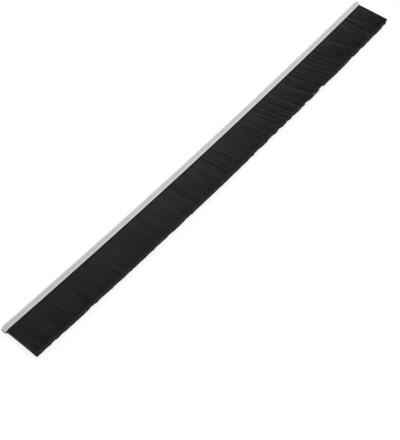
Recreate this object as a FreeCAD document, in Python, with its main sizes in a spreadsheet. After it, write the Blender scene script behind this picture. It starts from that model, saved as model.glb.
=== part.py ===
"""Brush strip of a letterbox draught excluder: a pinched metal channel, its core wire and the fibres folded over it.

Millimetres. X runs along the strip, Y from the channel's back to the fibre tips, Z up. The origin is in the middle of
the channel's flat underside, so that the strip lies on Z = 0. A strip cut from a coil keeps a slight bow, its camber,
so every section is carried round one upright axis, the camber axis, on which each body has its own origin.
"""

import FreeCAD, Part
import Sketcher
import os

# Driving sizes. Angles are in degrees.
SIZES = {
    "strip_length": "340",  # from end to end, straight across the bow
    "camber": "2.6",  # how far the middle of the strip bows towards the tips
    "sheet_gauge": "0.5",  # sheet that the channel is rolled from
    "side_flat": "0.6",  # straight part of each channel side, between round back and lip
    "lip_angle": "35",  # how far each lip is pinched in
    "lip_bend_radius": "0.4",  # inside radius of the bend that starts a lip
    "wire_diameter": "1.4",
    "leg_thickness": "1",  # fibres of one leg of the fold, packed tight
    "fit_gap": "0.05",  # clearance of the fibres to the wire and to the channel
    "bristle_reach": "23",  # free fibres, from the lips to the trimmed tips
    "tip_thickness": "4.6",  # curtain at its tips, where the fibres spread
    "end_inset": "1.5",  # how far the curtain's corners draw in at the tips
    "lock_pitch": "2.83",  # from one lock of fibres to the next
    "gap_width": "0.35",  # between two locks, at the tips
    "gap_length": "16",  # how far a gap runs in from the tips
    "groove_width": "1.4",  # valley between two locks, at the tips
    "groove_depth": "0.9",
    "run_out": "1",  # how far the cuts run past the curtain
}

# Places worked out from the sizes. Distances named for a place are measured from the camber axis, and heights from
# the underside. The lips and the folded fibres are alike above and below mid_height.
LAYOUT = {
    "camber_radius": "=Sizes.strip_length^2 / (8 * Sizes.camber) + Sizes.camber / 2",
    "half_angle": "=asin(Sizes.strip_length / (2 * camber_radius))",
    "mid_height": "=Sizes.wire_diameter / 2 + Sizes.leg_thickness + 2 * Sizes.fit_gap + Sizes.sheet_gauge",
    "back_centre": "=camber_radius - Sizes.side_flat / 2",
    "bend_start": "=camber_radius + Sizes.side_flat / 2",
    "outer_bend": "=Sizes.lip_bend_radius + Sizes.sheet_gauge",
    "outer_bend_end": "=bend_start + outer_bend * sin(Sizes.lip_angle)",
    "outer_bend_rise": "=outer_bend * (1 - cos(Sizes.lip_angle))",
    "inner_bend_end": "=bend_start + Sizes.lip_bend_radius * sin(Sizes.lip_angle)",
    "inner_bend_rise": "=Sizes.sheet_gauge + Sizes.lip_bend_radius * (1 - cos(Sizes.lip_angle))",
    "lip_inner_rise": "=mid_height - Sizes.leg_thickness - Sizes.fit_gap",
    "lip_outer_rise": "=lip_inner_rise - Sizes.sheet_gauge * cos(Sizes.lip_angle)",
    "mouth": "=outer_bend_end + (lip_outer_rise - outer_bend_rise) / tan(Sizes.lip_angle)",
    "neck": "=mouth - Sizes.sheet_gauge * sin(Sizes.lip_angle)",
    "fold_rise": "=Sizes.sheet_gauge + Sizes.fit_gap",
    "tip": "=mouth + Sizes.bristle_reach",
    "locks_each_way": "=floor((Sizes.strip_length / Sizes.lock_pitch - 1) / 2) + 1",
    "lock_step": "=2 * asin(Sizes.lock_pitch / (2 * camber_radius))",
}

doc = FreeCAD.newDocument("brush_strip")


def make_sheet(name, cells):
    """Write one cell for each entry, with the entry's name as its alias."""
    sheet = doc.addObject("Spreadsheet::Sheet", name)
    for row, (alias, text) in enumerate(cells.items(), start=1):
        sheet.set(f"A{row}", alias)
        sheet.set(f"B{row}", text)
        sheet.setAlias(f"B{row}", alias)
    doc.recompute()
    return sheet


sizes = make_sheet("Sizes", SIZES)
layout = make_sheet("Layout", LAYOUT)


def value(expression):
    """The number that an expression of the two sheets gives now."""
    return float(layout.evalExpression(expression))


def above(rise):
    """A height as far below the top as rise is above the underside."""
    return f"2 * Layout.mid_height - {rise}"


def make_body(label):
    """A body whose origin stands on the camber axis."""
    body = doc.addObject("PartDesign::Body", label)
    body.Label = label
    body.setExpression("Placement.Base.y", "-Layout.camber_radius")
    return body


def origin_feature(body, role):
    return next(feature for feature in body.Origin.OriginFeatures if feature.Role == role)


def make_sketch(body, plane, name):
    sketch = body.newObject("Sketcher::SketchObject", name)
    sketch.AttachmentSupport = [(origin_feature(body, plane), "")]
    sketch.MapMode = "FlatFace"
    return sketch


def bind(sketch, kind, geometry, point, expression):
    """Hold one coordinate of a sketch point, counted from the sketch's origin, to an expression."""
    constraint = Sketcher.Constraint(kind, -1, 1, geometry, point, value(expression))
    index = sketch.addConstraint(constraint)
    sketch.setExpression(f"Constraints[{index}]", expression)


def arc_between(start, end, centre_x, turn):
    """The arc from start to end about a centre whose x is known; turn is 1 anticlockwise and -1 clockwise."""
    start_square = (start.x - centre_x) ** 2 + start.y**2
    end_square = (end.x - centre_x) ** 2 + end.y**2
    centre = FreeCAD.Vector(centre_x, (start_square - end_square) / (2 * (start.y - end.y)), 0)
    circle = Part.Circle(centre, FreeCAD.Vector(0, 0, 1), start.distanceToPoint(centre))
    first, last = (start, end) if turn > 0 else (end, start)
    return Part.ArcOfCircle(circle, circle.parameter(first), circle.parameter(last))


def draw_outline(sketch, corners, arcs=()):
    """A closed outline whose corners are pairs of expressions.

    A stretch is straight from its corner to the next, unless arcs gives, for that corner's number, the expression
    for its centre's x and the way it turns.
    """
    arcs = dict(arcs)
    count = len(corners)
    points = [FreeCAD.Vector(value(x), value(y), 0) for x, y in corners]
    stretches = []
    for number, start in enumerate(points):
        end = points[(number + 1) % count]
        if number in arcs:
            centre_x, turn = arcs[number]
            index = sketch.addGeometry(arc_between(start, end, value(centre_x), turn), False)
            stretches.append((index, 1, 2) if turn > 0 else (index, 2, 1))
        else:
            stretches.append((sketch.addGeometry(Part.LineSegment(start, end), False), 1, 2))
    for number, (index, first, last) in enumerate(stretches):
        after, after_first, _ = stretches[(number + 1) % count]
        sketch.addConstraint(Sketcher.Constraint("Coincident", index, last, after, after_first))
    for number, (index, first, last) in enumerate(stretches):
        x, y = corners[number]
        bind(sketch, "DistanceX", index, first, x)
        bind(sketch, "DistanceY", index, first, y)
        if number in arcs:
            bind(sketch, "DistanceX", index, 3, arcs[number][0])


def draw_circle(sketch, x, y, radius):
    centre = FreeCAD.Vector(value(x), value(y), 0)
    circle = Part.Circle(centre, FreeCAD.Vector(0, 0, 1), value(radius))
    index = sketch.addGeometry(circle, False)
    bind(sketch, "DistanceX", index, 3, x)
    bind(sketch, "DistanceY", index, 3, y)
    constraint = sketch.addConstraint(Sketcher.Constraint("Radius", index, value(radius)))
    sketch.setExpression(f"Constraints[{constraint}]", radius)


def carry_round(body, section):
    """Carry a section along the strip's bow, as far to one side as to the other."""
    revolution = body.newObject("PartDesign::Revolution", section.Name + "_run")
    revolution.Profile = section
    revolution.ReferenceAxis = (origin_feature(body, "Z_Axis"), [""])
    revolution.Midplane = True
    revolution.setExpression("Angle", "2 * Layout.half_angle")
    return revolution


def cut_through(body, sketch, name):
    """Cut a flat sketch right through the body, up and down."""
    pocket = body.newObject("PartDesign::Pocket", name)
    pocket.Profile = sketch
    pocket.SideType = "Symmetric"
    pocket.Type = "ThroughAll"
    return pocket


def make_channel():
    """Sheet rolled to a U: a half-round back, two short flats, and lips pinched in round the fibres."""
    body = make_body("channel")
    section = make_sketch(body, "YZ_Plane", "channel_section")
    inside = "Sizes.sheet_gauge"
    lower_outside = [
        ("Layout.back_centre", "0"),
        ("Layout.bend_start", "0"),
        ("Layout.outer_bend_end", "Layout.outer_bend_rise"),
        ("Layout.mouth", "Layout.lip_outer_rise"),
    ]
    lower_inside = [
        ("Layout.neck", "Layout.lip_inner_rise"),
        ("Layout.inner_bend_end", "Layout.inner_bend_rise"),
        ("Layout.bend_start", inside),
        ("Layout.back_centre", inside),
    ]
    lower = lower_outside + lower_inside
    upper = [(x, above(rise)) for x, rise in reversed(lower)]
    arcs = {
        1: ("Layout.bend_start", 1),
        5: ("Layout.bend_start", -1),
        7: ("Layout.back_centre", -1),
        9: ("Layout.bend_start", -1),
        13: ("Layout.bend_start", 1),
        15: ("Layout.back_centre", 1),
    }
    draw_outline(section, lower + upper, arcs)
    carry_round(body, section)
    return body


def make_core_wire():
    """Round wire in the bottom of the channel, as long as the channel."""
    body = make_body("core_wire")
    section = make_sketch(body, "YZ_Plane", "wire_section")
    draw_circle(section, "Layout.back_centre", "Layout.mid_height", "Sizes.wire_diameter / 2")
    carry_round(body, section)
    return body


def make_bristle_fill():
    """Fibres folded over the wire, pinched at the neck and spreading to the tips in ridged locks."""
    body = make_body("bristle_fill")
    section = make_sketch(body, "YZ_Plane", "fill_section")
    leg_low = "Layout.mid_height - Sizes.leg_thickness"
    outline = [
        ("Layout.back_centre", "Layout.fold_rise"),
        ("Layout.bend_start", "Layout.fold_rise"),
        ("Layout.neck", leg_low),
        ("Layout.tip", "0"),
        ("Layout.tip", "Sizes.tip_thickness"),
        ("Layout.neck", "Layout.mid_height + Sizes.leg_thickness"),
        ("Layout.bend_start", above("Layout.fold_rise")),
        ("Layout.back_centre", above("Layout.fold_rise")),
    ]
    draw_outline(section, outline, {7: ("Layout.back_centre", 1)})
    draw_circle(section, "Layout.back_centre", "Layout.mid_height", "Sizes.wire_diameter / 2 + Sizes.fit_gap")
    carry_round(body, section)

    corner = make_sketch(body, "XY_Plane", "corner_outline")
    corner.AttachmentOffset = FreeCAD.Placement(FreeCAD.Vector(), FreeCAD.Rotation(FreeCAD.Vector(0, 0, 1), -1))
    corner.setExpression("AttachmentOffset.Rotation.Angle", "-Layout.half_angle")
    corner_tip = "-Sizes.end_inset * (1 + Sizes.run_out / Sizes.bristle_reach)"
    corner_outline = [
        ("0", "Layout.mouth"),
        ("Sizes.run_out", "Layout.mouth"),
        ("Sizes.run_out", "Layout.tip + Sizes.run_out"),
        (corner_tip, "Layout.tip + Sizes.run_out"),
    ]
    draw_outline(corner, corner_outline)
    corner_cut = cut_through(body, corner, "corner_cut")
    other_corner = body.newObject("PartDesign::Mirrored", "other_corner_cut")
    other_corner.Originals = [corner_cut]
    other_corner.MirrorPlane = (origin_feature(body, "YZ_Plane"), [""])
    body.Tip = other_corner

    gap = make_sketch(body, "XY_Plane", "gap_outline")
    gap_half = "Sizes.gap_width / 2 * (1 + Sizes.run_out / Sizes.gap_length)"
    gap_outline = [
        ("0", "Layout.tip - Sizes.gap_length"),
        (gap_half, "Layout.tip + Sizes.run_out"),
        (f"-{gap_half}", "Layout.tip + Sizes.run_out"),
    ]
    draw_outline(gap, gap_outline)
    gap_cut = cut_through(body, gap, "gap_cut")

    groove = make_sketch(body, "XZ_Plane", "groove_outline")
    groove.setExpression("AttachmentOffset.Base.z", "-Layout.tip - Sizes.run_out")
    groove_half = "Sizes.groove_width / 2 * (1 + Sizes.run_out / Sizes.groove_depth)"
    under = [
        ("0", "Sizes.groove_depth"),
        (f"-{groove_half}", "-Sizes.run_out"),
        (groove_half, "-Sizes.run_out"),
    ]
    over = [(x, f"Sizes.tip_thickness - ({rise})") for x, rise in under]
    draw_outline(groove, under)
    draw_outline(groove, over)
    groove_cut = body.newObject("PartDesign::Pocket", "groove_cut")
    groove_cut.Profile = groove
    groove_cut.Reversed = True
    groove_cut.setExpression("Length", "Sizes.bristle_reach + Sizes.run_out")

    for name, backwards in (("locks_left", False), ("locks_right", True)):
        doc.recompute()
        locks = body.newObject("PartDesign::PolarPattern", name)
        locks.Originals = [gap_cut, groove_cut]
        locks.Axis = (origin_feature(body, "Z_Axis"), [""])
        locks.Mode = "Spacing"
        locks.Reversed = backwards
        locks.setExpression("Offset", "Layout.lock_step")
        locks.setExpression("Occurrences", "Layout.locks_each_way")
        body.Tip = locks
    return body


bodies = [make_channel(), make_core_wire(), make_bristle_fill()]
doc.recompute()

for item in doc.Objects:
    if "Invalid" in item.State or "Error" in item.State:
        raise RuntimeError(f"{item.Name} did not build: {item.State}")
    if item.isDerivedFrom("PartDesign::Pocket") and item.Shape.Volume >= item.BaseFeature.Shape.Volume:
        raise RuntimeError(f"{item.Name} cuts nothing")

for body in bodies:
    if body.Shape.isNull() or not body.Shape.isValid():
        raise RuntimeError(f"{body.Label} is not a valid solid")

os.makedirs("parts", exist_ok=True)
for body in bodies:
    body.Shape.exportStep(f"parts/{body.Label}.step")
    box = body.Shape.BoundBox
    spans = f"X {box.XMin:.2f}..{box.XMax:.2f}, Y {box.YMin:.2f}..{box.YMax:.2f}, Z {box.ZMin:.2f}..{box.ZMax:.2f}"
    print(f"{body.Label}: {len(body.Shape.Solids)} solid, {body.Shape.Volume:.0f} mm3, {spans}")
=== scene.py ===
# %% [markdown]
# # A brush strip that seals a letter slot
# Three stock things make this strip: a channel rolled from thin zinc-coated sheet, a steel wire, and
# some thousands of black plastic fibres. The fibres are laid across the wire and folded double over it,
# the wire is pressed into the channel, and rollers pinch the channel's lips shut on the fibres.
# The CAD model holds all three as solids. This lesson makes each one again, fine enough for a picture,
# and turns the solid curtain into what it really is: separate fibres.

import bpy
import numpy as np
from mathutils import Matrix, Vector


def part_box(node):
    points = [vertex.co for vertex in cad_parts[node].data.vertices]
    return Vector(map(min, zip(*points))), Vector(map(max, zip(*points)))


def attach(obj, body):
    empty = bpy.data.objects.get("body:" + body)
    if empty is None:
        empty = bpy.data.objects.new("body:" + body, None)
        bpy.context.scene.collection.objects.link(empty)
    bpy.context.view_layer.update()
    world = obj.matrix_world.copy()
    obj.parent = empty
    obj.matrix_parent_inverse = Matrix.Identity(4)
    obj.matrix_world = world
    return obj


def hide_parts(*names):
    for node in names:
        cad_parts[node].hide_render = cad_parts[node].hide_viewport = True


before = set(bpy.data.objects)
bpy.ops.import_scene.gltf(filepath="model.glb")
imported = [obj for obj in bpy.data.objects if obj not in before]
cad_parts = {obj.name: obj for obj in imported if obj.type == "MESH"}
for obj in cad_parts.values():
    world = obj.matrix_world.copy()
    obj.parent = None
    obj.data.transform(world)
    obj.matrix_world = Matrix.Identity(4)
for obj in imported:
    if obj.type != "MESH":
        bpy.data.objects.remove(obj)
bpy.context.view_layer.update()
MM = 0.001

# %% [markdown]
# ## Sizes that come from the frame
# The finished pieces have to lie exactly where the solids lie, so their main sizes are read from the
# solids' boxes and not typed in again. The wire tells most. Its box is as high as the wire is thick, as
# long as the strip, and its depth is one thickness plus the bow, because the strip isn't quite straight.
# A chord and its height give the circle that the bow belongs to.

# %% Read the strip's sizes
wire_low, wire_high = np.array(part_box("core_wire"))
channel_low, channel_high = np.array(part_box("channel"))
fill_low, fill_high = np.array(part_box("bristle_fill"))
wire_radius = (wire_high[2] - wire_low[2]) / 2
length = wire_high[0] - wire_low[0]
camber = wire_high[1] - wire_low[1] - 2 * wire_radius
bow_radius = (length / 2) ** 2 / (2 * camber) + camber / 2
half_run = bow_radius * np.arcsin(length / 2 / bow_radius)
mid_z = (channel_low[2] + channel_high[2]) / 2
back_radius = mid_z - channel_low[2]
back_y = wire_high[1] - wire_radius
tip_y = fill_high[1]
print(f"strip {length / MM:.2f} mm long, bowed by {camber / MM:.2f} mm on a radius of {bow_radius:.3f} m")
print(f"wire {2 * wire_radius / MM:.2f} mm thick, about y {back_y / MM:.2f} and z {mid_z / MM:.2f}")
print(f"round back of radius {back_radius / MM:.2f} mm")
print(f"fibres from y {fill_low[1] / MM:.2f} to {tip_y / MM:.2f} mm")


# %% [markdown]
# ## Working flat, then bending
# Every piece is easiest to describe on a straight strip: a distance along it, a depth y from the back to
# the tips, and a height z. One function then bends all of them round the same circle, so channel, wire
# and fibres can't drift apart. A bend modifier could do this as well, but a formula leaves no modifier
# behind and keeps each object at the origin.

# %% Bend flat places round the bow
def on_bow(along, y, z):
    """The angle is along / bow_radius. A place at depth y turns on a circle of radius bow_radius + y."""
    angle = along / bow_radius
    reach = bow_radius + y
    places = np.broadcast_arrays(reach * np.sin(angle), reach * np.cos(angle) - bow_radius, z)
    return np.stack(places, axis=-1)


print("end of the strip's middle line in mm:", np.round(on_bow(half_run, 0, 0) / MM, 2).tolist())


# %% [markdown]
# ## From arrays to a mesh
# A tube is a stack of rings with the same number of points, and its quads are found by counting. That one
# helper serves the channel, the wire and every fibre. The mesh itself is filled with foreach_set, which
# takes whole arrays and is many times faster than adding vertices one by one.

# %% Count the faces of a tube
def tube_quads(rings, around):
    """Quad (ring, turn) joins two neighbours on one ring with the same two on the next, closed round."""
    ring, turn = np.meshgrid(np.arange(rings - 1), np.arange(around), indexing="ij")
    beside = (turn + 1) % around
    corners = [ring * around + turn, ring * around + beside]
    corners += [(ring + 1) * around + beside, (ring + 1) * around + turn]
    return np.stack(corners, axis=-1).reshape(-1, 4)


def tube_ends(rings, around):
    """The two faces that close a tube: its first ring, taken backwards to look outwards, and its last."""
    first = np.arange(around)
    return np.stack([first[::-1], first + around * (rings - 1)])


print("quads on a tube of 3 rings of 4 points:", len(tube_quads(3, 4)))


# %% Fill a mesh and measure it
def skin(name, points, faces, maps=None):
    """Fills a mesh from points and from face arrays, one array for each number of corners. If there are
    maps, they hold a place on the flat map for every corner of every face."""
    mesh = bpy.data.meshes.new(name)
    corners = np.concatenate([group.ravel() for group in faces])
    sizes = np.concatenate([np.full(len(group), group.shape[1]) for group in faces])
    mesh.vertices.add(len(points))
    mesh.vertices.foreach_set("co", points.astype(np.float32).ravel())
    mesh.loops.add(len(corners))
    mesh.loops.foreach_set("vertex_index", corners.astype(np.int32))
    mesh.polygons.add(len(sizes))
    mesh.polygons.foreach_set("loop_start", (np.cumsum(sizes) - sizes).astype(np.int32))
    mesh.polygons.foreach_set("use_smooth", np.ones(len(sizes), dtype=bool))
    if maps is not None:
        mesh.uv_layers.new(name="OFBake").uv.foreach_set("vector", maps.astype(np.float32).ravel())
    mesh.update(calc_edges=True)
    mesh.validate()
    piece = bpy.data.objects.new(name, mesh)
    bpy.context.scene.collection.objects.link(piece)
    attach(piece, "root")
    return piece


def carry(piece, label, values):
    """Stores one number for each point of the mesh, under a label that a finish can read."""
    layer = piece.data.attributes.new(label, "FLOAT", "POINT")
    layer.data.foreach_set("value", values.astype(np.float32).ravel())


def measure(piece):
    """Triangles and volume in mm3. Signed tetrahedra add up to more than 0 if faces point outwards."""
    mesh = piece.data
    mesh.calc_loop_triangles()
    triangles = np.empty(len(mesh.loop_triangles) * 3, dtype=np.int32)
    mesh.loop_triangles.foreach_get("vertices", triangles)
    places = np.empty(len(mesh.vertices) * 3, dtype=np.float32)
    mesh.vertices.foreach_get("co", places)
    a, b, c = places.reshape(-1, 3).astype(float)[triangles.reshape(-1, 3)].transpose(1, 0, 2)
    volume = np.einsum("ij,ij->", a, np.cross(b, c)) / 6 / MM**3
    return f"{piece.name}: {len(a)} triangles, {volume:.0f} mm3"


print("the pieces go into the collection", bpy.context.scene.collection.name)

# %% [markdown]
# ## The channel's mid-line
# A roll-forming line bends flat sheet in runs: a half-round back, a short flat, a tight bend, and a lip
# that slants in on the fibres. So the section is drawn as the rollers see it, as a heading that turns
# along the sheet. Adding up the steps gives the mid-line, and an arc's chord is exact, so no point is
# guessed. Where fibres are bunched the lips close a little less, so the last bend wavers along the strip.

# %% Turn the sheet's heading along its width
sheet = 0.5 * MM
side_flat = 0.6 * MM
lip_turn = np.radians(35)
lip_bend = 0.4 * MM
neck_half = 1.05 * MM
nose = 0.14 * MM
lip = (back_radius - sheet - lip_bend * (1 - np.cos(lip_turn)) - neck_half) / np.sin(lip_turn)
neck_y = back_y + side_flat + lip_bend * np.sin(lip_turn) + lip * np.cos(lip_turn)
back_steps = 18
flat_steps = 3
bend_steps = 7
lip_steps = 5
nose_steps = 5
runs = [
    ((back_radius - sheet / 2) * np.pi / 2, np.pi / 2, back_steps),
    (side_flat, 0.0, flat_steps),
    ((lip_bend + sheet / 2) * lip_turn, lip_turn, bend_steps),
    (lip - nose, 0.0, lip_steps),
]
nose_runs = nose * np.diff(np.sin(np.linspace(0, np.pi / 2, nose_steps + 1)))
steps = [np.full(count, run / count) for run, turn, count in runs]
turns = [np.full(count, turn / count) for run, turn, count in runs]
steps = np.concatenate([*steps, nose_runs])
turns = np.concatenate([*turns, np.zeros(nose_steps)])
bend_start = back_steps + flat_steps
in_bend = np.zeros(len(steps))
in_bend[bend_start : bend_start + bend_steps] = 1
print(f"half the sheet is {steps.sum() / MM:.2f} mm wide and turns {np.degrees(turns.sum()):.0f} degrees")


# %% Carry the section along the strip
def mirrored(half, sign):
    """Half a section from its lip to the back, then its mirror image, times sign, to the other lip."""
    return np.hstack([half[:, ::-1], sign * half[:, 1:]])


def channel_section(pinch):
    """Depth and height of the mid-line and of its outward normal, from upper lip to lower lip.

    Half the section starts at the back, heading up. Each step moves by the chord of its arc, in the
    heading at its middle. The other half mirrors it. pinch scales the lip's bend, one value a station.
    """
    turn = turns * (1 + in_bend * (pinch[:, None] - 1))
    after = np.cumsum(turn, axis=1)
    halfway = after - turn / 2
    chord = steps * np.sinc(turn / (2 * np.pi))
    start = np.zeros((len(pinch), 1))
    y = np.hstack([start, np.cumsum(chord * np.sin(halfway), axis=1)]) + back_y - back_radius + sheet / 2
    z = np.hstack([start, np.cumsum(chord * np.cos(halfway), axis=1)])
    heading = np.hstack([start, after])
    middle = mirrored(y, 1), mirrored(z, -1) + mid_z
    outwards = mirrored(-np.cos(heading), 1), mirrored(np.sin(heading), -1)
    return *middle, *outwards


chamfer = 0.06 * MM
even_stations = 161
end_gaps = np.append(chamfer, np.array([0.25, 0.5, 0.8, 1.2, 1.7, 2.4]) * MM)
stations = np.linspace(-half_run, half_run, even_stations)
stations = np.sort(np.concatenate([stations, half_run - end_gaps, end_gaps - half_run]))
slow_waver = 0.012 * np.sin(stations / (17 * MM))
quick_waver = 0.01 * np.sin(stations / (6.1 * MM) + 1.3)
mid_depth, mid_height, out_depth, out_height = channel_section(1 + slow_waver + quick_waver)
print("section points:", mid_depth.shape[1], "stations:", len(stations))


# %% [markdown]
# ## The sheared near end
# Strips are cropped from long stock. Before the shears cut they bear down on the strip, so at the near
# end the last three millimetres are pressed down and squeezed in, and the cut is slightly aslant. A
# lattice could press a finished mesh in this way. Here one formula says where any place ends up, so that
# sheet, wire and fibres give way together.

# %% Press and crop the near end
def ease(value):
    """A smooth step from 0 to 1: 3 t squared less 2 t cubed, with t held between 0 and 1."""
    t = np.clip(value, 0, 1)
    return t * t * (3 - 2 * t)


shear_reach = 3.0 * MM
shear_drop = 1.5 * MM
shear_squeeze = 0.45 * MM
slant_reach = 6 * MM
shear_slant = 0.4 * MM
shear_pivot = 0.27


def into_channel(y):
    """How deep a place lies in the channel: 0 at the back, 1 from the lips' edges outwards."""
    return np.clip((y - back_y + back_radius) / (neck_y - back_y + back_radius), 0, 1)


def pressed(along, y, z):
    """Depth and height of a place once the shears have pressed it. It goes down by the drop, times the
    height's share of the thickness to the power 1.5, and in from the back by the squeeze, which fades
    towards the lips. Both are multiplied by the square of the nearness to the cut."""
    near_end = (1 - np.clip((half_run - along) / shear_reach, 0, 1)) ** 2
    up = np.clip(z / (2 * mid_z), 0, 1)
    squeezed = y + shear_squeeze * near_end * (1 - into_channel(y))
    return squeezed, z - shear_drop * near_end * up**1.5


def cropped(y, z):
    """The pressed section on the bow. The slant moves each place along by its depth's share less the
    pivot's, so the back ends a little beyond the square cut and the lips a little before it."""
    slanted = ease((stations - half_run) / slant_reach + 1)[:, None]
    along = stations[:, None] - shear_slant * slanted * (into_channel(y) - shear_pivot)
    return on_bow(along, *pressed(stations[:, None], y, z))


top_of_cut = pressed(half_run, back_y, 2 * mid_z)
print("depth and height of the cut's top in mm:", np.round(np.array(top_of_cut) / MM, 2).tolist())


# %% [markdown]
# ## The channel as a thick sheet
# The sheet has two rails, half a gauge outside and half a gauge inside the mid-line. Towards a lip's edge
# the rails close along a squarish curve, so that the sheared edge has a small round and catches light as
# a real one does. The two cut ends get a tiny chamfer in the same way. A Solidify modifier on a bare
# mid-line would give the wall, but not those edges. Each point also carries a share of painted highlight,
# which stands in for the light that the round back and the lips reflect.

# %% Make the channel
def both_rails(middle, outwards):
    """The outer rail, half a wall out along the normal, from the upper lip to the lower one, then back
    along the inner rail, half a wall in."""
    outer = middle + half_wall * outwards
    inner = middle - half_wall * outwards
    return np.concatenate([outer, inner[:, -2:0:-1]], axis=1)


into_nose = np.clip((np.cumsum(steps) - steps.sum() + nose) / nose, 0, 1)
half_wall = sheet / 2 * np.cbrt(1 - into_nose**3)
half_wall = np.concatenate([half_wall[::-1], [sheet / 2], half_wall])
at_end = np.abs(stations) > half_run - chamfer / 2
half_wall = half_wall * np.where(at_end, 1 - 2 * chamfer / sheet, 1)[:, None]
flat_depth = both_rails(mid_depth, out_depth)
flat_height = both_rails(mid_height, out_height)
sheet_rings = cropped(flat_depth, flat_height)
sheet_size = sheet_rings.shape[:2]
sheet_faces = [tube_quads(*sheet_size), tube_ends(*sheet_size)]
channel = skin("channel_sheet_metal", sheet_rings.reshape(-1, 3), sheet_faces)
channel.data.set_sharp_from_angle(angle=np.radians(38))
back_edge = 0.48
lip_edge = 0.78
depth_share = into_channel(flat_depth)
# Painted highlight: a share that lightens the base colour of the round back and, less, of the lips.
back_painted_sheen = ease((back_edge - depth_share) / 0.25)
lip_painted_sheen = 0.6 * ease((depth_share - lip_edge) / 0.1)
carry(channel, "painted_sheen_share", back_painted_sheen + lip_painted_sheen)
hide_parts("channel")
print(measure(channel))

# %% [markdown]
# ## The wire
# The wire is cropped with the strip, so it shows only as a small bright disc in each cut end, and at the
# near end it bends down with the pressed sheet. It is a plain tube, a circle carried along the bow,
# whose last two rings draw in a little where the shears rounded it over. A bevelled curve would give
# the same tube, but not its ends.

# %% Make the wire
wire_sides = 28
wire_stations = 81
wire_recess = 0.15 * MM
rounding_length = 0.1 * MM
rounding_depth = 0.12 * MM
wire_turn = np.arange(wire_sides) * 2 * np.pi / wire_sides
wire_run = np.linspace(-half_run, half_run - wire_recess, wire_stations)
rounding_starts = [wire_run[0] + rounding_length, wire_run[-1] - rounding_length]
wire_run = np.insert(wire_run, [1, wire_stations - 1], rounding_starts)
wire_girth = np.full(len(wire_run), wire_radius)
wire_girth[[0, -1]] = wire_radius - rounding_depth
wire_y, wire_z = pressed(wire_run, back_y, mid_z)
wire_rings = on_bow(
    wire_run[:, None],
    wire_y[:, None] + wire_girth[:, None] * np.cos(wire_turn),
    wire_z[:, None] + wire_girth[:, None] * np.sin(wire_turn),
)
wire_size = wire_rings.shape[:2]
wire = skin("core_wire_steel", wire_rings.reshape(-1, 3), [tube_quads(*wire_size), tube_ends(*wire_size)])
wire.data.set_sharp_from_angle(angle=np.radians(30))
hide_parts("core_wire")
print(measure(wire))


# %% [markdown]
# ## How the fibres lie
# Handling decides how a brush looks. Fibres stick together in tufts a few millimetres wide, with finer
# wisps in them, each lies a little differently, and a hand that wipes along the strip combs whole
# stretches over. A blade trims the tips last, and leaves a small notch where a bunch gave way. Here the
# comb-over and the trim are smooth formulas along the strip, and tufts and wisps are random numbers that
# the fibres of one bunch share. Hair particles could do this too, but they aren't a mesh that can be
# measured or exported.

# %% Comb the fibres over
def from_near(along):
    """Distance from the near end in mm, 0 there and 340 at the far end."""
    return (half_run - along) / MM


def rise(near, start, stop):
    """A smooth step along the strip: 0 up to start, 1 from stop on, both in mm from the near end."""
    return ease((near - start) / (stop - start))


def combed(along):
    """How far a tip leans towards -X: two smooth steps up, one down, and ripples."""
    near = from_near(along)
    lean = 1.0 * rise(near, 60, 110) + 4.2 * rise(near, 150, 220)
    lean = lean * (1 - rise(near, 295, 335))
    return (lean + 0.35 * np.sin(near / 6.5) + 0.3 * np.sin(near / 14 + 2)) * MM


def drawn_in(along):
    """How far crimped ends draw tips in: 1.3 mm at the near end, 0.4 at the far end, fading over 7 mm."""
    fade = 7 * MM
    near_share = np.exp(-((half_run - along) / fade))
    far_share = np.exp(-((half_run + along) / fade))
    return (1.3 * near_share - 0.4 * far_share) * MM


some_places = np.linspace(1, -1, 9) * half_run
print("lean of the tips in mm, near end to far end:", np.round(combed(some_places) / MM, 1).tolist())

# %% Gather the fibres in bunches
rng = np.random.default_rng(37)
tuft_widths = 3.0 * MM, 6.0 * MM
wisp_widths = 0.7 * MM, 2.0 * MM


def bunches(along, narrow, wide):
    """Cuts the strip into bunches of random width. Gives each fibre its bunch's middle and three random
    numbers that the bunch shares, less half of its neighbours', so that light and dark ones alternate."""
    lead = 2 * MM
    run_over = 10 * MM
    spare = 1.2
    enough = int(2 * (2 * half_run + run_over) / (narrow + wide) * spare)
    edges = np.cumsum(rng.uniform(narrow, wide, enough)) - half_run - lead
    number = np.searchsorted(edges, along)
    middles = (edges[1:] + edges[:-1]) / 2
    shared = rng.normal(size=(len(edges) + 1, 3))
    beside = (np.roll(shared, 1, axis=0) + np.roll(shared, -1, axis=0)) / 2
    shared = (shared - beside) / np.sqrt(1.5)
    return middles[np.clip(number - 1, 0, len(middles) - 1)], shared[number]


def swayed(along):
    """A smooth random lean: four sine waves with random starts, each 0.02 of its length high."""
    waves = np.array([3.1, 4.7, 7.3, 12.0]) * MM
    starts = rng.uniform(0, 2 * np.pi, len(waves))
    return (0.02 * waves * np.sin(along[:, None] * 2 * np.pi / waves + starts)).sum(axis=1)


def ruffled(along):
    """How unevenly high bunches lie: 0.35 at the near end, 2.25 where the strip was combed over most."""
    return 0.35 + 1.9 * rise(from_near(along), 70, 300)


print("unevenness, near end to far end:", np.round(ruffled(some_places), 2).tolist())


# %% Trim the tips
def left_long(along):
    """How far past the solid's edge the blade left the tips: 0.3 mm up to the middle, 0.22 mm beyond."""
    return (0.3 - 0.08 * rise(from_near(along), 165, 210)) * MM


def notched(along):
    """How deep the notches between bunches of tips are: 1 up to the middle, 2.8 beyond it, then 1.5."""
    near = from_near(along)
    return 1 + 1.8 * rise(near, 165, 195) - 1.3 * rise(near, 245, 275)


print("depth of the notches, near end to far end:", np.round(notched(some_places), 2).tolist())
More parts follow.
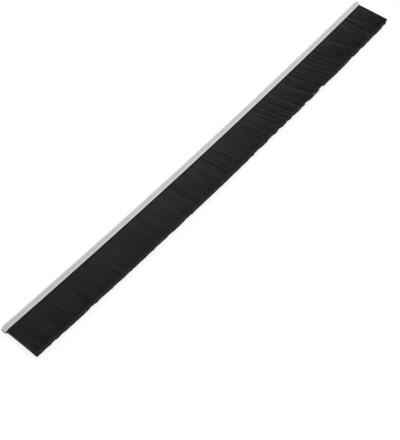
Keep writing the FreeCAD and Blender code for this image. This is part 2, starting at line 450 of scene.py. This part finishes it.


# %% [markdown]
# ## Tone along the strip
# Every fibre is the same black, yet some stretches look lighter than others. Crimped or crowded fibres
# swallow light and open ones let some of it out again, but a real strip has more and finer fibres than
# this model, so light alone doesn't show it all. Each point of a fibre therefore carries a tone of
# painted light and shade for its finish to read. Smooth steps add it up, one for each stretch of roots or
# tips.
# Painting it by hand would work as well, but a formula can be read and changed.

# %% Say how light each stretch is
def painted_light_tone(along, w):
    """The painted light and shade of a fibre at share w of its leg, from neck to tip. Painted shade
    darkens the first 130 mm from the near end, most of all at the roots. Painted light lightens the
    roots from the middle on and the near half's tips. Painted shade darkens the far end's tips and legs."""
    near = from_near(along)[:, None]
    shaded_near_roots = 0.3 * (1 - w) * (1 - rise(near, 0, 120))
    lit_open_roots = 0.28 * (1 - w) ** 3 * rise(near, 100, 180)
    lit_near_tips = 0.14 * w**4 * rise(near, 0, 60) * (1 - rise(near, 190, 240))
    shaded_far_tips = 0.2 * w**2 * rise(near, 215, 265)
    shaded_far_legs = 0.6 * rise(near, 255, 310) * ease(w / 0.35)
    return 0.22 + 0.37 * rise(near, 0, 130) - shaded_near_roots + lit_open_roots + lit_near_tips - shaded_far_tips - shaded_far_legs


def streaked(along):
    """How strongly bunches differ in tone: 0.15 at the near end, 0.75 midway, 2.95 at the far end."""
    near = from_near(along)
    return 0.15 + 0.6 * rise(near, 80, 160) + 2.2 * rise(near, 190, 270)


print("tone halfway up the legs:", np.round(painted_light_tone(some_places, 0.5).ravel(), 2).tolist())

# %% [markdown]
# ## One fibre's path
# A fibre runs from its upper tip down its leg to the pinched neck, round the wire, and back out along the
# lower leg. It keeps its place in the pack all the way: a fibre next to the wire stays in the middle of
# the curtain, and one on the outside of the fold stays on the curtain's skin. That place is one number
# from 0 to 1, and it sets the fold's radius, the height in the neck and the height of the tip.

# %% Set out the roots
fibre_count = 5600
fibre_radius = 0.125 * MM
near_recess = 0.9 * MM
far_recess = 0.15 * MM
wire_gap = 0.05 * MM
lip_gap = 0.05 * MM
fold_depth = 1 * MM
golden_step = (np.sqrt(5) - 1) / 2
root = (np.arange(fibre_count) + rng.random(fibre_count)) / fibre_count
root = half_run - near_recess - root * (2 * half_run - near_recess - far_recess)
place = (np.arange(fibre_count) * golden_step + 0.1 * rng.random(fibre_count)) % 1
fold_radius = wire_radius + wire_gap + fibre_radius + place * (fold_depth - 2 * fibre_radius)
leg_share = np.array([0.0, 0.05, 0.22, 0.46, 0.72, 1.0])
print(f"fibres to a millimetre: {fibre_count / np.ptp(root) * MM:.1f}")

# %% End the legs unevenly
half_room = mid_z - fibre_radius


def cut_short(tuft, wisp):
    """How far tips end before the blade's line: a little by chance, by a notch that a bunch shares, and
    by up to 1.5 mm for one fibre in twenty."""
    notch = 0.1 * np.abs(wisp[:, 0]) + 0.16 * np.clip(tuft[:, 0] - 0.3, 0, 2)
    short = 0.05 * np.abs(rng.normal(size=fibre_count)) + notched(root) * notch
    worn = rng.random(fibre_count) < 0.05
    return (short + np.where(worn, 1.5 * rng.random(fibre_count), 0)) * MM


def tip_height(side, tuft, wisp):
    """Height of a tip above or below the middle, from its place in the pack and the room there. On top,
    bunches lie unevenly. Below, outer fibres lie flat on what is under them."""
    uneven = place * np.clip(0.94 + ruffled(root) * (0.03 * tuft[:, 1] + 0.025 * wisp[:, 1]), 0.75, 1)
    flattened = np.minimum(0.1 + 2 * place, 1)
    return (uneven if side > 0 else flattened) * half_room


print("room for fibres above the middle in mm:", round(half_room / MM, 3))


# %% Draw the legs
def leg_path(side):
    """Points from neck to tip, as flat places, and the tone at each.

    Share w of the leg moves it w outwards, the lean times w to the power 1.25 and the draw-in times w to
    the power 0.6 sideways, and in height from the neck's place to the tip's with a slight bow. Towards
    the neck, heights give way to the pressed channel's.
    """
    w = leg_share
    tuft_middle, tuft = bunches(root, *tuft_widths)
    wisp_middle, wisp = bunches(root, *wisp_widths)
    stray = np.where(rng.random(fibre_count) < 0.02, 0.9, 0.14)
    loose = swayed(root) + stray * rng.normal(size=fibre_count) * MM
    loose = loose + (tuft_middle - root) * 0.03 + (wisp_middle - root) * 0.1
    lean = loose * (1 if side > 0 else 0.4) - combed(root)
    leg_length = tip_y + left_long(root) - neck_y - cut_short(tuft, wisp)
    neck_z = (place * 0.8 + 0.05) * (neck_half - lip_gap)
    tip_z = tip_height(side, tuft, wisp)
    bow = rng.normal(size=fibre_count) * 0.12 * MM
    along = root[:, None] + lean[:, None] * w**1.25 - drawn_in(root)[:, None] * w**0.6
    y = neck_y + leg_length[:, None] * w
    along_most = half_run * bow_radius / (bow_radius + y) - fibre_radius
    along = np.clip(along, -along_most, along_most)
    z = neck_z[:, None] + (tip_z - neck_z)[:, None] * w + bow[:, None] * np.sin(np.pi * w)
    z = mid_z + side * np.clip(z, -half_room, half_room)
    z = z * w + pressed(root[:, None], y, z)[1] * (1 - w)
    own_tone = 0.16 * rng.normal(size=fibre_count)
    own_tone = own_tone + streaked(root) * (0.06 * tuft[:, 2] + 0.24 * wisp[:, 2])
    # The tone adds painted light and shade along the strip to each fibre's own random tone.
    tone = np.clip(painted_light_tone(root, w) + own_tone[:, None], -0.25, 1)
    return np.stack([along, y, z], axis=-1), tone


upper, upper_tone = leg_path(1)
lower, lower_tone = leg_path(-1)
print("longest leg in mm:", round((upper[..., 1].max() - neck_y) / MM, 2))

# %% Fold the fibres over the wire
fold_turn = np.radians([90, 135, 180, 225, 270])
fold_y = back_y + fold_radius[:, None] * np.cos(fold_turn)
fold_z = mid_z + fold_radius[:, None] * np.sin(fold_turn)
fold_places = root[:, None], *pressed(root[:, None], fold_y, fold_z)
fold = np.stack(np.broadcast_arrays(*fold_places), axis=-1)
paths = np.concatenate([upper[:, ::-1], fold, lower], axis=1)
paths = on_bow(paths[..., 0], paths[..., 1], paths[..., 2])
tone = np.concatenate([upper_tone[:, ::-1], upper_tone[:, : len(fold_turn)], lower_tone], axis=1)
leg_reach = np.where(leg_share > 0, 0.3 + 0.7 * leg_share, 0)
run_out = np.concatenate([leg_reach[::-1], np.zeros(len(fold_turn)), leg_reach])
print("fibres and points on each:", paths.shape[:2], "lowest in mm:", round(paths[..., 2].min() / MM, 3))

# %% [markdown]
# ## Fibres as slim tubes
# Each fibre is a four-sided tube, because at a quarter of a millimetre smooth shading rounds it well
# enough, and a shape that comes thousands of times must stay light. The ring's first axis is the strip's
# length, which no fibre ever follows, so the rings can't twist. A map gives every fibre a column of its
# own, and two attributes carry its tone and how near a point is to the tip.

# %% Make the fibres in four lengths
fibre_sides = 4
piece_count = 4
points_each = paths.shape[1]
tangent = np.gradient(paths, axis=1)
across = np.stack([np.zeros(paths.shape[:2]), tangent[..., 2], -tangent[..., 1]], axis=-1)
across = across / np.linalg.norm(across, axis=-1, keepdims=True)
ring_turn = np.arange(fibre_sides) * 2 * np.pi / fibre_sides
tubes = paths[:, :, None] + fibre_radius * np.sin(ring_turn)[:, None] * across[:, :, None]
tubes[..., 0] = tubes[..., 0] + fibre_radius * np.cos(ring_turn)
one_fibre = np.concatenate([tube_quads(points_each, fibre_sides), tube_ends(points_each, fibre_sides)])
map_rows = np.linspace(0.002, 0.998, points_each)[:, None]
fibre_pieces = []
for number, chosen in enumerate(np.array_split(np.arange(fibre_count), piece_count), start=1):
    total = len(chosen)
    offsets = np.arange(total)[:, None, None] * points_each * fibre_sides
    corners = (one_fibre + offsets).reshape(-1, 4)
    columns = (np.arange(total)[:, None, None] + 0.1 + 0.8 * (np.arange(fibre_sides) % 2)) / total
    spots = np.stack(np.broadcast_arrays(columns, map_rows), axis=-1).reshape(-1, 2)
    piece = skin(f"fibres_{number}", tubes[chosen].reshape(-1, 3), [corners], spots[corners])
    point_grid = total, points_each, fibre_sides
    carry(piece, "tone", np.broadcast_to(tone[chosen][:, :, None], point_grid))
    carry(piece, "reach", np.broadcast_to(run_out[:, None], point_grid))
    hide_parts("bristle_fill")
    fibre_pieces.append(piece)
    print(measure(piece))


# %% [markdown]
# ## Finishes written as sums
# A finish is a small calculation on places and random patterns. Drawing it as nodes by hand hides the
# sum, so one class wraps a socket and lets Python's own signs add the Math nodes. Any other node comes
# from its one method, node(), which takes the kind, the settings and what goes into the sockets.

# %% A socket that does sums
class Shade:
    """A node socket. The signs + - * add Math nodes, and node() adds a node of any other kind."""

    def __init__(self, tree, socket=None):
        self.tree = tree
        self.socket = socket

    def node(self, kind, settings=None, inputs=None, output=0):
        """Adds a node, sets its settings first, then gives its sockets their values or links."""
        made = self.tree.nodes.new(kind)
        for name, value in (settings or {}).items():
            setattr(made, name, value)
        for name, value in (inputs or {}).items():
            if isinstance(value, Shade):
                self.tree.links.new(value.socket, made.inputs[name])
            else:
                made.inputs[name].default_value = value
        return Shade(self.tree, made.outputs[output] if made.outputs else None)

    def sum_with(self, operation, first, second):
        """A Math node on two values."""
        return self.node("ShaderNodeMath", {"operation": operation}, {0: first, 1: second})

    def __add__(self, other):
        return self.sum_with("ADD", self, other)

    def __sub__(self, other):
        return self.sum_with("SUBTRACT", self, other)

    def __rsub__(self, other):
        return self.sum_with("SUBTRACT", other, self)

    def __mul__(self, other):
        return self.sum_with("MULTIPLY", self, other)

    __radd__ = __add__
    __rmul__ = __mul__

    def blend(self, dark, light):
        """A colour between two others, at this value's share. A Mix node has its colours in sockets 6
        and 7 and gives the mixed one from socket 2."""
        mix_inputs = {0: self, 6: (*dark, 1), 7: (*light, 1)}
        return self.node("ShaderNodeMix", {"data_type": "RGBA"}, mix_inputs, 2)


signs = [name for name in ("__add__", "__sub__", "__mul__") if hasattr(Shade, name)]
print("signs that add Math nodes:", signs)


# %% Start and end a finish
def new_finish(name, *pieces):
    """An empty node material on these pieces, and a Shade to build it with."""
    material = bpy.data.materials.new(name)
    material.use_nodes = True
    material.node_tree.nodes.clear()
    for piece in pieces:
        piece.data.materials.append(material)
    return Shade(material.node_tree)


def pattern(start, scale, detail=2.0):
    """Noise on Object coordinates, stretched by a scale per metre along each axis."""
    spot = start.node("ShaderNodeTexCoord", output="Object")
    spot = start.node("ShaderNodeMapping", None, {"Vector": spot, "Scale": scale})
    return start.node("ShaderNodeTexNoise", None, {"Vector": spot, "Scale": 1.0, "Detail": detail})


def carried(start, label):
    """The numbers that a mesh carries under a label."""
    return start.node("ShaderNodeAttribute", {"attribute_name": label}, output="Fac")


def share(value, low, high):
    """Where a value lies between two limits: 0 at low, 1 at high, and held there beyond them."""
    return value.node("ShaderNodeMapRange", None, {"Value": value, "From Min": low, "From Max": high})


def close_finish(start, inputs):
    """Ends a finish with one Principled shader and counts the nodes that it took."""
    surface = start.node("ShaderNodeBsdfPrincipled", None, inputs)
    start.node("ShaderNodeOutputMaterial", None, {"Surface": surface})
    return len(start.tree.nodes)


print("pieces that need a finish:", [piece.name for piece in (channel, wire, *fibre_pieces)])

# %% [markdown]
# ## Zinc-coated sheet
# The channel is bright but not polished. Rolling leaves fine lines along the strip, and the zinc coat is
# a little cloudy. A painted highlight lightens the round back and the lips. The lines are noise that is
# stretched along X until it turns to threads, and clouds are the same noise at a larger scale. Both move
# roughness as well as colour, because that is how satin metal shows them. The painted highlight follows
# the section and not a place in space, so it comes from the number that each point carries.

# %% Finish the channel
dark_zinc = (0.48, 0.48, 0.485)
bright_zinc = (0.74, 0.74, 0.735)
paint = new_finish("zinc_sheet", channel)
rolling = pattern(paint, (45, 2600, 2600), 3.0)
clouds = pattern(paint, (110, 260, 260))
painted_sheen = carried(paint, "painted_sheen_share")
# The painted highlight adds up to 0.32 to the zinc's brightness.
brightness = (rolling - 0.5) * 0.25 + (clouds - 0.5) * 0.45 + 0.25 + 0.32 * painted_sheen
relief = paint.node("ShaderNodeBump", None, {"Strength": 0.12, "Distance": 0.02 * MM, "Height": rolling})
sheet_finish = {
    "Base Color": brightness.blend(dark_zinc, bright_zinc),
    "Metallic": 1.0,
    "Roughness": 0.34 + 0.16 * rolling + 0.1 * clouds,
    "Normal": relief,
}
print("nodes in the sheet's finish:", close_finish(paint, sheet_finish))

# %% [markdown]
# ## Drawn wire
# Wire is pulled through a die, so its marks run along it, and it is duller and darker than the zinc. The
# shears bared bright steel at its two ends, and those are all that is ever seen of it. A second material
# on the end faces would show the cut too. Here the distance from the strip's middle tells where it is,
# so the wire keeps one finish.

# %% Finish the wire
dull_steel = (0.22, 0.22, 0.225)
bare_steel = (0.62, 0.62, 0.62)
paint = new_finish("drawn_wire", wire)
draw_marks = pattern(paint, (60, 4000, 4000))
wire_place = paint.node("ShaderNodeTexCoord", output="Object")
along_x = paint.node("ShaderNodeSeparateXYZ", None, {"Vector": wire_place}, "X")
from_middle = paint.sum_with("ABSOLUTE", along_x, 0)
dull_up_to = wire_run[-1] - 0.15 * MM
bare_from = wire_run[-1] - 0.05 * MM
cut_face = share(from_middle, dull_up_to, bare_from)
wire_finish = {
    "Base Color": (draw_marks * 0.4 + cut_face * 0.6).blend(dull_steel, bare_steel),
    "Metallic": 1.0,
    "Roughness": 0.4 + 0.2 * draw_marks,
}
print("nodes in the wire's finish:", close_finish(paint, wire_finish))

# %% [markdown]
# ## Black fibres
# The fibres are extruded plastic coloured with soot black. Streaks come from how tufts and wisps catch
# the light, so the finish shifts tone from bunch to bunch and a little from fibre to fibre. Painted light
# makes each leg lighter near the channel and darker towards its tip. It fades to the darkest black in
# the neck as painted shade, where no light gets in, and painted shade darkens the cut ends of the tips,
# where they sit in each other's shade. Towards the tips the fibres are a little rougher as well. All this
# reads the numbers that the fibres carry, because a pattern in space would cut across the bunches. Only
# a fine speckle is such a pattern.

# %% Finish the fibres
soot_black = (0.005, 0.005, 0.0055)
lit_black = (0.032, 0.0315, 0.034)
paint = new_finish("black_plastic_fibre", *fibre_pieces)
fibre_tone = carried(paint, "tone")
near_tip = carried(paint, "reach")
dulled = share(near_tip, 0.75, 1.0)
speckle = pattern(paint, (900, 250, 900))
in_neck = share(near_tip, 0.335, 0.0)
painted_tip_shade = share(near_tip, 0.97, 1.0)
# Painted light and shade: lighter near the channel and darker towards the tips, with painted shade in the
# neck and at the cut ends of the tips.
lightness = fibre_tone * 0.8 + speckle * 0.2 + (0.7 - near_tip) * 0.4
lightness = lightness * (1 - in_neck) * (1 - 0.65 * painted_tip_shade)
fibre_finish = {
    "Base Color": lightness.blend(soot_black, lit_black),
    "Roughness": 0.42 + 0.1 * speckle + 0.05 * dulled + 0.3 * in_neck,
    "Specular IOR Level": 0.35,
}
print("nodes in the fibres' finish:", close_finish(paint, fibre_finish))

# %% [markdown]
# ## Floor and light
# The strip lies on a plain white floor in soft light from all round, as in a light tent. Most of the
# light comes from the sky, which is brighter low down than overhead. Two square panels beyond the far
# end add to it, one on the side of the channel's back and one on the side of the tips, so the metal is a
# little brighter there. The floor shows the camera, and the metal's reflections, some white of its own,
# so that it stays white but keeps the shadow. More lamps would whiten it too, but they would bleach the
# strip.

# %% Lay the floor
floor_half = 8.0
floor_corners = np.array([[-1, -1, 0], [1, -1, 0], [1, 1, 0], [-1, 1, 0]]) * floor_half
floor_mesh = bpy.data.meshes.new("floor")
floor_mesh.from_pydata(floor_corners.tolist(), [], [(0, 1, 2, 3)])
floor = bpy.data.objects.new("floor", floor_mesh)
bpy.context.scene.collection.objects.link(floor)
board_white = (0.97, 0.97, 0.97, 1)
glow_strength = 1.15
glow_share = 0.6
paint = new_finish("white_floor", floor)
looked_at = paint.node("ShaderNodeLightPath", output="Is Camera Ray")
reflected = paint.node("ShaderNodeLightPath", output="Is Glossy Ray")
seen = paint.sum_with("MAXIMUM", looked_at, reflected)
board = paint.node("ShaderNodeBsdfDiffuse", None, {"Color": board_white})
glow = paint.node("ShaderNodeEmission", None, {"Color": (1, 1, 1, 1), "Strength": glow_strength})
mixed = paint.node("ShaderNodeMixShader", None, {0: seen * glow_share, 1: board, 2: glow})
paint.node("ShaderNodeOutputMaterial", None, {"Surface": mixed})
print("floor in m:", np.ptp(floor_corners, axis=0)[:2].tolist())

# %% Light the tent
level_light = 1.12
overhead_loss = 0.4
world = bpy.data.worlds.new("tent")
world.use_nodes = True
world.node_tree.nodes.clear()
bpy.context.scene.world = world
sky = Shade(world.node_tree)
direction = sky.node("ShaderNodeTexCoord", output="Generated")
height = sky.node("ShaderNodeSeparateXYZ", None, {"Vector": direction}, "Z")
sky_light = {"Color": (1, 1, 1, 1), "Strength": level_light - overhead_loss * height}
backing = sky.node("ShaderNodeBackground", None, sky_light)
sky.node("ShaderNodeOutputWorld", None, {"Surface": backing})


def panel(name, spot, size, power):
    """A square soft light at a spot, turned to face the strip's middle."""
    light = bpy.data.lights.new(name, "AREA")
    light.size = size
    light.energy = power
    lamp = bpy.data.objects.new(name, light)
    lamp.location = spot
    lamp.rotation_euler = (-Vector(spot)).to_track_quat("-Z", "Y").to_euler()
    bpy.context.scene.collection.objects.link(lamp)


panel("back_panel", spot=(-0.5, -0.4, 0.65), size=0.9, power=0.8)
panel("tip_panel", spot=(-0.45, 0.6, 0.65), size=0.6, power=0.75)
print("lights:", [item.name for item in bpy.data.lights])

# %% [markdown]
# ## The camera
# The picture was taken from above one long side, near one end. The camera's place was found by matching
# the strip's straight edges: a turn round the vertical, a rise above the floor, a distance, and a focal
# length given in pixels. Blender measures a lens against its sensor, which is 36 mm along the picture's
# longer side, and that side is 440 pixels.

# %% Set the camera
camera_turn = np.radians(40.59)
camera_rise = np.radians(55.88)
camera_distance = 0.6425
camera_target = np.array([39.1, 31.3, 0]) * MM
focal_pixels = 1059.3
longer_side_pixels = 440
sensor_mm = 36
outward = np.array([
    np.cos(camera_rise) * np.cos(camera_turn),
    np.cos(camera_rise) * np.sin(camera_turn),
    np.sin(camera_rise),
])
camera_data = bpy.data.cameras.new("camera")
camera_data.sensor_fit = "AUTO"
camera_data.sensor_width = sensor_mm
camera_data.lens = focal_pixels * sensor_mm / longer_side_pixels
camera = bpy.data.objects.new("camera", camera_data)
camera.location = (camera_target + camera_distance * outward).tolist()
camera.rotation_euler = Vector((-outward).tolist()).to_track_quat("-Z", "Y").to_euler()
bpy.context.scene.collection.objects.link(camera)
bpy.context.scene.camera = camera
bpy.context.scene.view_settings.view_transform = "Standard"
print("camera at", [round(value, 4) for value in camera.location], "lens", round(camera_data.lens, 2))
